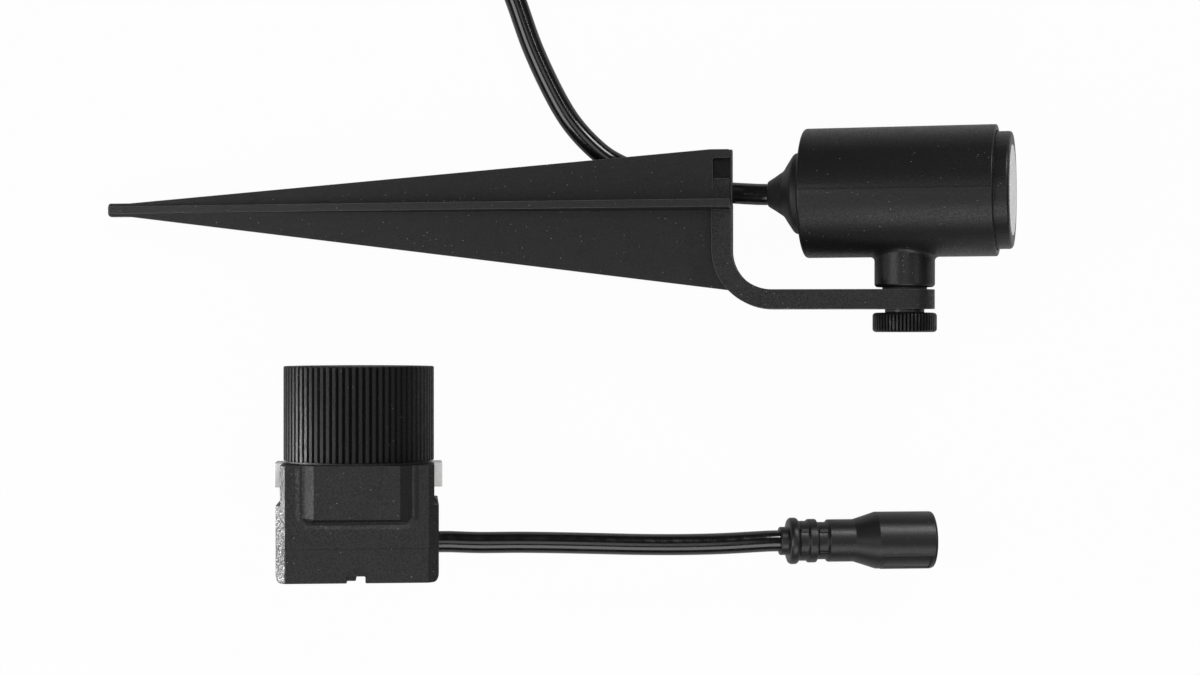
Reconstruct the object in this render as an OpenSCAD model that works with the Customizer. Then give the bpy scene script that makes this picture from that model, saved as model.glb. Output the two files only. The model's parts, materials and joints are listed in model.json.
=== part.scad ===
// Low-voltage garden spotlight on a ground stake, lying on its back rib,
// with the clamp connector that feeds it lying beside it.
// X runs along the stake towards the head, Z is up, the surface is at Z 0.

/* [Stake] */
// Length of the stake from its tip to its end face
stake_l = 173; // [150:1:200]
// Width across the front and back ribs at the end
rib_w = 37; // [32:1:44]
// Thickness of the ribs
rib_t = 2; // [1.6:0.1:2.4]
// Reach of the upper blade from the rib plane, at the end
blade_up = 15.5; // [14:0.5:18]
// Reach of the lower blade from the rib plane, at the end
blade_down = 22.7; // [20:0.1:24]
// Thickness of the blade
blade_t = 2.2; // [1.8:0.1:2.8]
// Width of the blunt tip
tip_w = 3.7; // [3:0.1:5]
// Length of the blunt part of the tip
tip_l = 6; // [4:0.5:9]
// Length of the straight collar at the end
collar_l = 6; // [5.5:0.1:8]

/* [Bracket] */
// Thickness of the strap
strap_t = 5.2; // [4.8:0.1:6]
// Width of the strap
strap_w = 16; // [14:0.5:18]
// Inside radius of the bend
bend_r = 10.8; // [8:0.1:13]
// Drop from the rib plane to the upper face of the arm
arm_drop = 22.5; // [22:0.1:25]
// Distance from the end of the stake to the pivot
pivot_x = 46.2; // [44:0.1:52]
// Thickness of the tongue in the pocket
tongue_t = 4; // [3.4:0.1:4.4]
// Width of the tongue in the pocket
tongue_w = 3.2; // [2.6:0.1:3.8]
// Reach of the tongue past the rib plane
tongue_l = 7.7; // [6:0.1:10]

/* [Pivot] */
// Thread size of the thumb screw
screw_d = 5; // [4:0.5:6]
// Pivot boss diameter
boss_d = 16.1; // [14:0.1:18]
// Pivot spacer diameter
spacer_d = 11.9; // [10:0.1:14]
// Pivot spacer thickness
spacer_t = 0.65; // [0.5:0.05:1.2]
// Clamp washer diameter
washer_d = 10.5; // [9:0.1:13]
// Clamp washer thickness
washer_t = 1; // [0.8:0.1:1.6]
// Thumb knob diameter over the ribs
knob_d = 17.1; // [15:0.1:20]
// Thumb knob height
knob_h = 5.2; // [4.4:0.1:7]
// Ribs around the thumb knob
knob_ribs = 50; // [36:2:60]
// Outside diameter of the threaded insert in the boss
insert_d = 8; // [7.6:0.1:9]
// Length of the threaded insert
insert_l = 8; // [6.5:0.1:9]

/* [Head] */
// Diameter of the housing
head_d = 35; // [34:0.1:38]
// Height of the lamp axis over the rib plane
head_y = 3.7; // [3:0.1:5]
// Distance from the pivot back to the rear face
rear_l = 26.7; // [25.5:0.1:30]
// Distance from the pivot forward to the front rim
front_l = 24.6; // [23:0.1:28]
// Rounding of the rear edge
rear_round = 0.8; // [0.4:0.1:1.6]
// Thickness of the rear wall
rear_wall = 3; // [2:0.1:3.5]
// Bore of the housing
bore_d = 30; // [29.4:0.1:30.6]
// Diameter of the front bezel
bezel_d = 31.2; // [30.9:0.1:32]
// How far the bezel stands out of the housing
bezel_out = 4; // [3.4:0.1:5]
// How far the bezel goes into the housing
bezel_in = 10; // [8:0.1:12]
// Wall of the bezel
bezel_wall = 2; // [1.6:0.1:2.4]
// Clear opening in the bezel
aperture_d = 24.4; // [22:0.1:25]
// Thickness of the bezel lip
lip_t = 1.4; // [1:0.1:2]
// Thickness of the lens
lens_t = 2.5; // [2:0.1:3]
// Thickness of the lens seal
lens_seal_t = 1.2; // [0.8:0.1:1.6]
// Diameter of the light source board
board_d = 22; // [18:0.5:26]
// Thickness of the circuit boards
board_t = 1.6; // [1:0.1:2]
// Height of the light source board from the pivot
board_x = 5; // [4:0.1:6.5]
// Length of the heat slug
slug_l = 14; // [10:0.5:15]
// Gap between the gland and the driver board
driver_gap = 1.3; // [1:0.1:3]
// Width of the driver board
driver_w = 18; // [14:0.5:22]

/* [Gland and cable] */
// Diameter of the cables
cord_d = 5.8; // [5:0.1:6.4]
// Flange diameter of the gland
gland_d = 22; // [19:0.1:24]
// Thickness of the gland flange
gland_flange = 2.7; // [2:0.1:3.5]
// Length of the gland behind the housing
gland_l = 10.3; // [9.5:0.1:12]
// Spigot diameter of the gland
spigot_d = 12; // [10:0.1:14]
// Middle radius of the cable coil
coil_r = 32; // [30:0.5:36]
// Turns beside each other in the coil
coil_across = 3; // [2:1:4]

/* [Connector] */
// Distance from the stake end back to the connector axis
connector_back = 100.7; // [80:0.1:120]
// Distance from the rib plane down to the connector base
connector_drop = 99.6; // [96:0.1:120]
// Roll of the connector, which lies on its cap and a lower edge
connector_roll = 5; // [3:0.1:6]
// Width of the lower block
block_w = 42.6; // [41.8:0.1:46]
// Width of the upper block
neck_block_w = 40.2; // [39:0.1:41]
// Width of the front face between the cut corners
face_w = 37.4; // [36.4:0.1:38]
// Depth of the block without its panel
block_d = 37.2; // [36.4:0.1:38]
// Height of the upper block
block_h = 30.8; // [30:0.1:34]
// Height of the shoulder
shoulder_h = 20.3; // [19:0.1:21]
// Height of the parting line
split_h = 9; // [8:0.1:10]
// Wall of the block
block_wall = 2.5; // [2:0.1:3]
// Floor of the base cover
floor_t = 3; // [2.8:0.1:3.6]
// Rise of the front panel
panel_rise = 2.1; // [1.8:0.1:2.6]
// Diameter of the screw cap over the ribs
cap_d = 40.3; // [39.6:0.1:40.6]
// Height of the screw cap
cap_h = 25.2; // [24:0.1:28]
// Thickness of the cap roof
cap_roof = 2.6; // [2:0.1:3.4]
// Ribs around the screw cap
cap_ribs = 72; // [48:2:84]
// Diameter of the threaded neck
neck_d = 35.8; // [34.6:0.1:36.2]
// Width of the cable slot
slot_w = 10.8; // [10:0.1:12]
// Depth of the cable slot under the top of the block
slot_deep = 6.5; // [5.8:0.1:7]
// Wall of the cable seal above and below the cable
seal_wall = 0.85; // [0.6:0.05:1.2]
// Radius of the piercing pins
pin_r = 1; // [0.8:0.1:1.2]

/* [Socket and plug] */
// Distance from the stake end forward to the socket mouth
socket_front = 55.7; // [50:0.1:62]
// Downward lean of the socket
socket_lean = 5.6; // [4:0.1:7]
// Diameter of the socket barrel
barrel_d = 15.6; // [15:0.1:17]
// Length of the socket barrel
barrel_l = 16; // [15:0.1:18]
// Diameter of the socket waist
waist_d = 11.6; // [11:0.1:12.6]
// Bore of the socket mouth
mouth_d = 11.2; // [10.6:0.1:12]
// Depth of the socket mouth
mouth_l = 12; // [10:0.1:13]
// Diameter of the plug pins
plug_pin_d = 2; // [1.6:0.1:2.4]
// Distance between the plug pins
plug_pitch = 4.4; // [4:0.1:5]

/* [Hidden] */
$fn = 64;

// Clearances: a seated fit, a running fit, a slip between flat faces, room to cut past a face
seat = 0.05;
running = 0.08;
slip = 0.1;
past = 1;

black = "#232324";
soft_black = "#1c1c1d";
cord_r = cord_d / 2;

// Lamp frame: origin at the centre of the stake's end face, leaning so that the back rib lies flat
stake_lean = atan((rib_w - tip_w) / 2 / (stake_l - collar_l));
end_z = collar_l * sin(stake_lean) + rib_w / 2 * cos(stake_lean);
bend_y = bend_r - arm_drop;
leg_top = -rib_t / 2 - slip;
pocket_wall = 1.2;
pocket_roof = 2.4;
tongue_front = 0.8;
tongue_back = tongue_front + tongue_w;

// Head frame: origin on the pivot, leaning until the rear rim rests on the surface
pivot_z = end_z + pivot_x * sin(stake_lean);
rim_x = rear_l - rear_round;
rim_r = head_d / 2 - rear_round;
rest_lean = asin((pivot_z - rear_round) / norm([rim_x, rim_r])) - atan(rim_r / rim_x);
head_lean = rest_lean - stake_lean;
boss_y = spacer_t - arm_drop;
bezel_gap = 0.3;
bezel_x = front_l + bezel_out;
lens_x = bezel_x - lip_t - lens_t;
lens_d = bezel_d - 2 * bezel_wall - 0.4;
seal_x = lens_x - lens_seal_t;
slug_x = board_x - slug_l;
inner_x = rear_wall - rear_l;
nut_t = 2.4;
driver_l = slug_x - inner_x - nut_t - driver_gap;
wire_on = 1.5;
choke_gap = 1;
choke_front = 2.5;
choke_l = driver_l - wire_on - choke_gap - choke_front;
driver_x = slug_x - choke_front - choke_l / 2;
chip_w = 3.5;
chip_t = 1.2;
board_screw_r = 1;

// Where the lamp and the connector lie around the middle of the floor they cover
reach_back = stake_l * cos(stake_lean) + tip_w / 2 * sin(stake_lean);
reach_front = pivot_x * cos(stake_lean) + bezel_x * cos(rest_lean) + bezel_d / 2 * sin(rest_lean);
end_x = (reach_back - reach_front) / 2;
rib_y = (connector_drop - head_y - head_d / 2) / 2;
connector_x = end_x - connector_back;
connector_y = rib_y - connector_drop;
connector_z = max(cap_d / 2, block_d / 2 * cos(connector_roll) + face_w / 2 * sin(connector_roll));
socket_x = end_x + socket_front;
socket_y = connector_y + split_h - 0.4;
socket_l = 42.6;
socket_z = barrel_d / 2 * cos(socket_lean);

// Connector heights above its base
gasket_t = 0.5;
slot_h = block_h - slot_deep;
seal_side = 1.5;
seal_out = 1.05;
seal_l = block_w + 2 * seal_out;
cap_y = block_h + gasket_t + seat;
cap_top = cap_y + cap_h;
ceiling = cap_top - cap_roof;
disc_t = 3;
neck_top = ceiling - disc_t - 4 * slip;
rib_deep = 0.7;
screw_x = block_w / 2 - 5;
screw_z = block_d / 2 - 5.4;
post_r = 3.2;
screw_r = 1.3;
grommet_r = 4.6;
grommet_x = block_w / 2 - block_wall - 1.5;
pin_x = 6;
pin_z = 2;
wire_r = 0.6;

// Coil: turns a cable apart, a second layer resting in the grooves of the first
coil_at = [12, 142, 0];
coil_half = coil_across * cord_d / 2;
coil_h = cord_d * (1 + sqrt(3) / 2);
tie_t = 1;
tie_w = 6;
tie_gap = 0.3;

// Plug, lying with its shoulder on the surface
plug_at = [122, 166, barrel_d / 2];
plug_pin_out = 5;
plug_nose = mouth_l - 0.5;
plug_shoulder = -plug_pin_out - plug_nose;
plug_grip = 12;
plug_back = 44;

function lamp_place(p) = [
    end_x + p.x * cos(stake_lean) - p.z * sin(stake_lean),
    rib_y + p.y,
    end_z + p.x * sin(stake_lean) + p.z * cos(stake_lean)
];
function head_place(p) = lamp_place([
    pivot_x + p.x * cos(head_lean) - p.z * sin(head_lean),
    p.y,
    p.x * sin(head_lean) + p.z * cos(head_lean)
]);
gland_end = head_place([-rear_l - gland_l, head_y, 0]);
lead_way = [cos(connector_roll), 0, -sin(connector_roll)];
lead_start = [connector_x, connector_y + split_h, connector_z] + block_w / 2 * lead_way;
socket_rear = [
    socket_x - socket_l * cos(socket_lean),
    socket_y,
    socket_z + socket_l * sin(socket_lean)
];

// Routes of the cables, in order from where they leave a piece
straight = 3;
link_end = [22, 49.4, 4];
link_way = [-2.6, 1.2, -0.4];
link_route = [
    gland_end, head_place([-rear_l - gland_l - straight, head_y, 0]), [40, 44.2, 8.6], [31, 46, 6],
    link_end - link_way, link_end
];
cable_route = [
    link_end, link_end + link_way, [12.6, 54.4, 2.9], [5.3, 61.5, 2.9], [-0.3, 70, 2.9],
    [-6.8, 83.7, 2.9], [-11.8, 97.6, 2.9], [-16.6, 110, 2.9], [-21.4, 122, 2.9], [-24.8, 133, 2.9],
    [-25.8, 142, 2.9]
];
plug_rear = plug_at - [plug_back, 0, 0];
tail_route = [
    [12, 176.9, 8], [22, 176.8, 7.8], [34, 175, 7.4], [46, 171.4, 7.2], [58, 168, 7.4], [68, 166.4, 7.7],
    plug_rear - [straight, 0, 0], plug_rear
];
lead_route = [
    lead_start, lead_start + straight * lead_way, [-21, -51.7, 17.4], [-10, -51.7, 16.7], [1, -51.9, 16],
    [12, -52.2, 15.3], [23, -52.5, 14.6], [34, -52.6, 13.8], [45, -52.4, 13.1],
    socket_rear - straight * [cos(socket_lean), 0, -sin(socket_lean)], socket_rear
];

// A tube of eight sides along a route
tube_sides = 8;
function unit(v) = v / norm(v);
function heading(route, i) = unit(route[min(i + 1, len(route) - 1)] - route[max(i - 1, 0)]);
function ring(route, i) = let (
        along = heading(route, i),
        across = unit(cross([0, 0, 1], along)),
        up = cross(along, across)
    ) [for (k = [0 : tube_sides - 1]) let (a = 360 / tube_sides * k)
        route[i] + cord_r * (cos(a) * across + sin(a) * up)];
module tube(route) {
    n = tube_sides;
    last = len(route) - 1;
    rings = [for (i = [0 : last]) each ring(route, i)];
    sides = [for (i = [0 : last - 1], k = [0 : n - 1]) let (j = (k + 1) % n)
        each [[i * n + k, i * n + n + k, i * n + n + j], [i * n + k, i * n + n + j, i * n + j]]];
    polyhedron(rings, concat(sides, [[for (k = [0 : n - 1]) k]],
        [[for (k = [n - 1 : -1 : 0]) last * n + k]]));
}

// Frames that the pieces are drawn in
module on_lamp() {
    translate([end_x, rib_y, end_z]) rotate([0, -stake_lean, 0]) children();
}
module on_pivot() {
    on_lamp() translate([pivot_x, 0, 0]) rotate([0, -head_lean, 0]) children();
}
module on_head() {
    on_pivot() translate([0, head_y, 0]) children();
}
module on_connector() {
    translate([connector_x, connector_y, connector_z]) rotate([0, connector_roll, 0]) children();
}
module on_socket() {
    translate([socket_x, socket_y, socket_z]) rotate([0, socket_lean, 0]) children();
}
module on_plug() {
    translate(plug_at) children();
}

// A profile of [radius, place] points turned around the X or the Y axis
module turned_x(points) {
    rotate([0, 90, 0]) rotate_extrude() polygon(points);
}
module turned_y(points) {
    rotate([-90, 0, 0]) rotate_extrude() polygon(points);
}
// A plain ring or rod between two places along X or Y
module ring_x(outer, inner, x0, x1) {
    turned_x([[inner, x0], [outer, x0], [outer, x1], [inner, x1]]);
}
module ring_y(outer, inner, y0, y1) {
    turned_y([[inner, y0], [outer, y0], [outer, y1], [inner, y1]]);
}
module rod_x(r, x0, x1) {
    translate([x0, 0, 0]) rotate([0, 90, 0]) cylinder(r = r, h = x1 - x0);
}
module rod_y(r, y0, y1) {
    translate([0, y0, 0]) rotate([-90, 0, 0]) cylinder(r = r, h = y1 - y0);
}
// An outline in X and Z raised between two heights along Y
module raised(y0, y1) {
    translate([0, y1, 0]) rotate([90, 0, 0]) linear_extrude(y1 - y0) children();
}
// A ribbed band around Y
module ribbed(outer, deep, ribs, y0, y1) {
    raised(y0, y1) polygon([for (i = [0 : 4 * ribs - 1])
        let (a = 90 * i / ribs, r = i % 4 < 2 ? outer : outer - deep) r * [cos(a), sin(a)]]);
}

// Stake: one moulding with a blade, ribs front and back, and a pocket for the strap's tongue
module blade_shape() {
    polygon([[-stake_l, -tip_w / 2], [-stake_l, tip_w / 2], [tip_l - stake_l, tip_w / 2],
        [-collar_l, blade_up], [0, blade_up], [0, -blade_down], [tip_l - stake_l, -tip_w / 2]]);
}
module rib_shape() {
    polygon([[-stake_l, -tip_w / 2], [-stake_l, tip_w / 2], [-collar_l, rib_w / 2], [0, rib_w / 2],
        [0, -rib_w / 2], [-collar_l, -rib_w / 2]]);
}
module strap_room() {
    low = -blade_down - past;
    translate([-strap_t - slip, bend_y]) square([strap_t + slip + past, -rib_t / 2 - bend_y]);
    intersection() {
        translate([bend_r, bend_y]) circle(bend_r + strap_t + slip);
        translate([-strap_t - slip, low]) square([strap_t + slip + past, bend_y - low]);
    }
}
module tongue_room() {
    wide = tongue_t + 2 * slip;
    translate([-strap_t / 2 - wide / 2, 0, -tongue_back - slip]) {
        translate([0, -rib_t, 0]) cube([wide, 2 * rib_t, tongue_w + 2 * slip]);
        translate([0, rib_t / 2, 0])
            cube([wide, blade_up - pocket_roof - rib_t / 2, tongue_back + blade_t]);
    }
}
module stake() color(black) on_lamp() difference() {
    union() {
        translate([0, 0, -blade_t / 2]) linear_extrude(blade_t) difference() {
            blade_shape();
            strap_room();
        }
        translate([0, rib_t / 2, 0]) rotate([90, 0, 0]) linear_extrude(rib_t) rib_shape();
        translate([-collar_l, 0, -tongue_back - slip - pocket_wall])
            cube([collar_l, blade_up, tongue_back + slip + pocket_wall]);
    }
    tongue_room();
}

// Bracket: flat strap bent through a right angle, round at the pivot, with a tongue at its top
module strap_shape() {
    translate([-strap_t, bend_y]) square([strap_t, leg_top - bend_y]);
    intersection() {
        translate([bend_r, bend_y]) difference() {
            circle(bend_r + strap_t);
            circle(bend_r);
        }
        translate([-strap_t, -arm_drop - strap_t]) square(bend_r + strap_t);
    }
    translate([bend_r, -arm_drop - strap_t]) square([pivot_x + strap_w / 2 - bend_r, strap_t]);
}
module bracket() color(black) on_lamp() difference() {
    union() {
        intersection() {
            translate([0, 0, -strap_w / 2]) linear_extrude(strap_w) strap_shape();
            union() {
                translate([-strap_t - past, -arm_drop - strap_t - past, -strap_w / 2 - past])
                    cube([pivot_x + strap_t + past, arm_drop + strap_t + past, strap_w + 2 * past]);
                translate([pivot_x, 0, 0]) rod_y(strap_w / 2, -arm_drop - strap_t - past, -arm_drop + past);
            }
        }
        translate([-strap_t / 2 - tongue_t / 2, leg_top - past, -tongue_back])
            cube([tongue_t, tongue_l - leg_top + past, tongue_w]);
    }
    translate([pivot_x, 0, 0]) rod_y(screw_d / 2 + running, -arm_drop - strap_t - past, -arm_drop + past);
}

// Head housing: turned shell with a rear wall, a shoulder for the bezel and the pivot boss
module head_housing() color(black) difference() {
    union() {
        on_head() turned_x([[0, -rear_l], [rim_r, -rear_l],
            each [for (a = [15 : 15 : 75]) [rim_r + rear_round * sin(a), -rim_x - rear_round * cos(a)]],
            [head_d / 2, -rim_x], [head_d / 2, front_l], [0, front_l]]);
        on_pivot() rod_y(boss_d / 2, boss_y, head_y);
    }
    on_head() turned_x([[0, -rear_l - past], [spigot_d / 2 + seat, -rear_l - past],
        [spigot_d / 2 + seat, inner_x], [bore_d / 2, inner_x], [bore_d / 2, front_l - bezel_in],
        [bezel_d / 2 + bezel_gap, front_l - bezel_in], [bezel_d / 2 + bezel_gap, front_l + past],
        [0, front_l + past]]);
    on_pivot() rod_y(insert_d / 2 + seat, boss_y - past, boss_y + insert_l + slip);
}
module boss_insert() color("#b8963e") on_pivot() {
    ring_y(insert_d / 2, screw_d / 2 + running, boss_y + slip, boss_y + insert_l);
}

// Inside the head, from the heat slug forward to the bezel
module at_board_screws() {
    for (side = [-1, 1]) translate([0, 0, side * (board_d / 2 - 2.5)]) children();
}
module wire_hole() {
    translate([0, board_d / 2 - 3, 0]) rod_x(1.5, slug_x - past, board_x + board_t + past);
}
module heat_slug() color("#b9bcc0") on_head() difference() {
    rod_x(bore_d / 2 - seat, slug_x, board_x);
    wire_hole();
    at_board_screws() rod_x(board_screw_r + seat, slug_x - past, board_x + past);
}
module led_board() color("#e9e9e4") on_head() difference() {
    rod_x(board_d / 2, board_x, board_x + board_t);
    wire_hole();
    at_board_screws() rod_x(board_screw_r + slip, board_x - past, board_x + board_t + past);
}
module board_screws() color("#c7c7c2") on_head() at_board_screws() {
    rod_x(board_screw_r, board_x - 5, board_x + board_t);
    rod_x(1.9, board_x + board_t, board_x + board_t + 1.2);
}
module led_chip() color("#f2dc7a") on_head() {
    translate([board_x + board_t, -chip_w / 2, -chip_w / 2]) cube([chip_t, chip_w, chip_w]);
}
module driver_board() color("#2f6b3c") on_head() {
    translate([slug_x - driver_l, -board_t / 2, -driver_w / 2]) cube([driver_l, board_t, driver_w]);
}
module driver_parts() color("#3a3a3c") on_head() {
    translate([driver_x, 0, -driver_w / 4]) rod_y(2.4, board_t / 2, board_t / 2 + 6);
    translate([driver_x - 2, board_t / 2, driver_w / 4 - 2.5]) cube([4, 1.6, 5]);
    translate([driver_x - choke_l / 2, -board_t / 2 - 4, -3]) cube([choke_l, 4, 6]);
}
module collimator() color("#dfe8ec") on_head() {
    base = board_x + board_t;
    turned_x([[chip_w * 0.75, base], [chip_w * 0.75 + 1.6, base], [lens_d / 2 - 2.2, seal_x - 2],
        [lens_d / 2, seal_x - 2], [lens_d / 2, seal_x], [0, seal_x], [0, base + chip_t + 2],
        [chip_w * 0.75, base + chip_t + 2]]);
}
module lens_seal() color("#3b3b3b") on_head() {
    ring_x(lens_d / 2, lens_d / 2 - 1.8, seal_x, lens_x);
}
module lens() color("#d6dadb") on_head() {
    rod_x(lens_d / 2, lens_x, lens_x + lens_t);
}
module front_bezel() color(black) on_head() {
    bore = bezel_d / 2 - bezel_wall;
    turned_x([[bore, front_l - bezel_in], [bezel_d / 2, front_l - bezel_in], [bezel_d / 2, bezel_x - 1],
        [bezel_d / 2 - 0.3, bezel_x - 0.3], [bezel_d / 2 - 1, bezel_x], [aperture_d / 2, bezel_x],
        [aperture_d / 2, bezel_x - lip_t], [bore, bezel_x - lip_t]]);
}

// Gland moulded on the cable, its nut, and the wires to the driver board
module cable_gland() color(soft_black) on_head() {
    r = cord_r + 0.4;
    cone = gland_l - gland_flange;
    turned_x([[0, -rear_l - gland_l], [r, -rear_l - gland_l], [r + 0.5, -rear_l - gland_l + 1],
        [gland_d * 0.2, -rear_l - gland_l + 0.22 * cone], [gland_d * 0.29, -rear_l - gland_l + 0.58 * cone],
        [gland_d * 0.477, -rear_l - gland_flange - 0.3], [gland_d / 2, -rear_l - gland_flange + 0.5],
        [gland_d / 2, -rear_l], [spigot_d / 2, -rear_l], [spigot_d / 2, inner_x + nut_t],
        [0, inner_x + nut_t]]);
}
module gland_nut() color("#2b2b2c") on_head() difference() {
    translate([inner_x, 0, 0]) rotate([0, 90, 0]) cylinder(d = spigot_d + 6, h = nut_t, $fn = 6);
    rod_x(spigot_d / 2 + seat, inner_x - past, inner_x + nut_t + past);
}
module supply_wires() color("#a33b2e") on_head() for (side = [-1, 1])
    translate([0, side * (board_t / 2 + wire_r), 0])
        rod_x(wire_r, inner_x + nut_t, slug_x - driver_l + wire_on);

// Pivot: spacer under the boss, washer under the arm, ribbed knob moulded on a threaded stud
module pivot_spacer() color("#161616") on_pivot() {
    ring_y(spacer_d / 2, screw_d / 2 + running, -arm_drop, boss_y);
}
washer_y = -arm_drop - strap_t - washer_t;
module clamp_washer() color("#9a9b9c") on_pivot() {
    ring_y(washer_d / 2, screw_d / 2 + running, washer_y, washer_y + washer_t);
}
stud_y = washer_y - knob_h + 1.2;
module thumb_stud() color("#a9aaab") on_pivot() {
    rod_y(screw_d / 2, stud_y, boss_y + insert_l - 1);
}
module thumb_knob() color(black) on_pivot() difference() {
    union() {
        ribbed(knob_d / 2, 0.5, knob_ribs, washer_y - knob_h + 0.4, washer_y - 0.4);
        ring_y(knob_d / 2 - 0.5, 0, washer_y - knob_h, washer_y);
    }
    rod_y(screw_d / 2 + seat, stud_y, washer_y + past);
}

// Cables of the lamp: link to the head, run to the coil, coil with its tie, tail to the plug
module cable_link() color(soft_black) tube(link_route);
module lamp_cable() color(soft_black) tube(cable_route);
module cable_coil() color(soft_black) translate(coil_at) rotate_extrude()
    polygon([[coil_r - coil_half, 0], [coil_r + coil_half, 0], [coil_r + coil_half, cord_d],
        [coil_r + coil_half - cord_r, coil_h], [coil_r - coil_half + cord_r, coil_h],
        [coil_r - coil_half, cord_d]]);
module coil_tie() color("#3a3a3a") translate(coil_at) rotate([0, 0, -60]) difference() {
    half = coil_half + tie_gap;
    top = coil_h + tie_gap;
    translate([coil_r - half - tie_t, -tie_w / 2, 0]) cube([2 * (half + tie_t), tie_w, top + tie_t]);
    translate([coil_r - half, -tie_w / 2 - past, -past]) cube([2 * half, tie_w + 2 * past, top + past]);
}
module cable_tail() color(soft_black) tube(tail_route);

// Plug: nose that enters the socket, grip, tapered relief, two pins and a sealing ring
nose_r = mouth_d / 2 - slip;
seal_place = plug_shoulder + 1.5;
seal_wide = 2;
seal_deep = 1;
module plug_body() color(soft_black) on_plug() difference() {
    grip_x = plug_shoulder - plug_grip;
    groove_r = nose_r - seal_deep;
    turned_x([[0, -plug_back], [cord_r + 0.6, -plug_back], [waist_d / 2 - 0.6, grip_x - 2],
        [barrel_d / 2, grip_x], [barrel_d / 2, plug_shoulder], [nose_r, plug_shoulder],
        [nose_r, seal_place], [groove_r, seal_place], [groove_r, seal_place + seal_wide],
        [nose_r, seal_place + seal_wide], [nose_r, -plug_pin_out], [0, -plug_pin_out]]);
    at_contacts() rod_x(plug_pin_d / 2 + seat, plug_shoulder, 0);
}
module plug_pins() color("#c9a64b") on_plug() at_contacts() rod_x(plug_pin_d / 2, plug_shoulder, 0);
module plug_seal() color("#6b2a22") on_plug() {
    ring_x(nose_r, nose_r - seal_deep + seat, seal_place + seat, seal_place + seal_wide - seat);
}

// Connector block: clamp body with a threaded neck and a cable slot, base cover with four screws
function plate(w, d, c) = [
    [c - w / 2, -d / 2], [w / 2 - c, -d / 2], [w / 2, c - d / 2], [w / 2, d / 2 - c],
    [w / 2 - c, d / 2], [c - w / 2, d / 2], [-w / 2, d / 2 - c], [-w / 2, c - d / 2]
];
module block_plate(w) {
    polygon(plate(w, block_d, (w - face_w) / 2));
}
module cavity_plate() {
    polygon(plate(block_w - 2 * block_wall, block_d - 2 * block_wall, (block_w - face_w) / 2));
}
module at_screws() {
    for (sx = [-1, 1], sz = [-1, 1]) translate([sx * screw_x, 0, sz * screw_z]) children();
}
module at_pins() {
    for (side = [-1, 1]) translate([side * pin_x, 0, side * pin_z]) children();
}
module grommet_hole() {
    translate([0, split_h, 0]) rod_x(grommet_r + seat, block_w / 2 - block_wall - past, block_w / 2 + past);
}
module panel() {
    flat = 11.1;
    foot = 16.2;
    flat_y = 16.9;
    foot_y = 14.8;
    front = block_d / 2;
    intersection() {
        raised(foot_y, block_h) polygon([[-foot, front - past], [-foot, front], [-flat, front + panel_rise],
            [flat, front + panel_rise], [foot, front], [foot, front - past]]);
        rotate([90, 0, 90]) translate([0, 0, -foot]) linear_extrude(2 * foot)
            polygon([[foot_y, front - past], [foot_y, front], [flat_y, front + panel_rise],
                [block_h, front + panel_rise], [block_h, front - past]]);
    }
}
module clamp_body() color(black) on_connector() {
    roof = shoulder_h - 1.4;
    difference() {
        union() {
            raised(split_h, shoulder_h) block_plate(block_w);
            raised(shoulder_h, block_h) block_plate(neck_block_w);
            rod_y(neck_d / 2, block_h, neck_top);
            panel();
        }
        difference() {
            raised(split_h - past, roof) cavity_plate();
            at_screws() rod_y(post_r, split_h - 2 * past, roof + past);
        }
        translate([-block_w, slot_h, -slot_w / 2]) cube([2 * block_w, neck_top, slot_w]);
        at_screws() rod_y(screw_r + seat, split_h - past, roof - past);
        at_pins() rod_y(pin_r + seat, split_h, slot_h + past);
        grommet_hole();
    }
}
module base_cover() color(black) on_connector() difference() {
    raised(0, split_h) block_plate(block_w);
    difference() {
        raised(floor_t, split_h + past) cavity_plate();
        at_screws() rod_y(post_r, floor_t - past, split_h + 2 * past);
    }
    at_screws() rod_y(screw_r + seat, -past, split_h + past);
    at_screws() rod_y(2.5 + seat, -past, 2);
    grommet_hole();
    translate([-2.7, -past, -block_d]) cube([4.8, 1.8 + past, 2 * block_d]);
}
module base_screws() color("#8f9092") on_connector() at_screws() {
    rod_y(screw_r, 2 - seat, shoulder_h - 4);
    rod_y(2.5, 0.4, 2);
}
module lead_grommet() color(soft_black) on_connector() translate([0, split_h, 0]) {
    rod_x(grommet_r, block_w / 2 - block_wall, block_w / 2);
    rod_x(grommet_r - 0.6, grommet_x, block_w / 2 - block_wall);
}
module piercing_pins() color("#c9a64b") on_connector() at_pins()
    turned_y([[0, split_h - 2], [pin_r, split_h - 2], [pin_r, slot_h - 2], [0, slot_h - slip]]);
module contact_wires() color("#8a5a2b") on_connector() for (side = [-1, 1])
    translate([0, split_h, side * pin_z]) rod_x(wire_r, side * pin_x + pin_r + seat, grommet_x);
module cable_seal() color("#dfe3e4") on_connector() difference() {
    room = slot_w - 2 * (seat + seal_side);
    translate([-seal_l / 2, slot_h, seat - slot_w / 2]) cube([seal_l, slot_deep, slot_w - 2 * seat]);
    translate([-seal_l, slot_h + seal_wall, -room / 2]) cube([2 * seal_l, slot_deep - 2 * seal_wall, room]);
}
module cap_gasket() color("#2a2a2a") on_connector() {
    ring_y(cap_d / 2 - 1, neck_d / 2 + slip, block_h, block_h + gasket_t);
}
module pressure_pad() color("#303032") on_connector() {
    translate([-neck_d / 2 + 4, block_h + slip, 2 * slip - slot_w / 2])
        cube([neck_d - 8, neck_top + 2 * slip - block_h, slot_w - 4 * slip]);
    rod_y(neck_d / 2 - 1, neck_top + 3 * slip, ceiling - slip);
}
module screw_cap() color(black) on_connector() {
    core = cap_d / 2 - rib_deep;
    bore = neck_d / 2 + running;
    difference() {
        union() {
            ribbed(cap_d / 2, rib_deep, cap_ribs, cap_y, cap_top - 0.4);
            rod_y(core, cap_y, cap_top);
        }
        rod_y(bore, cap_y - past, ceiling);
    }
}

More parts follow.
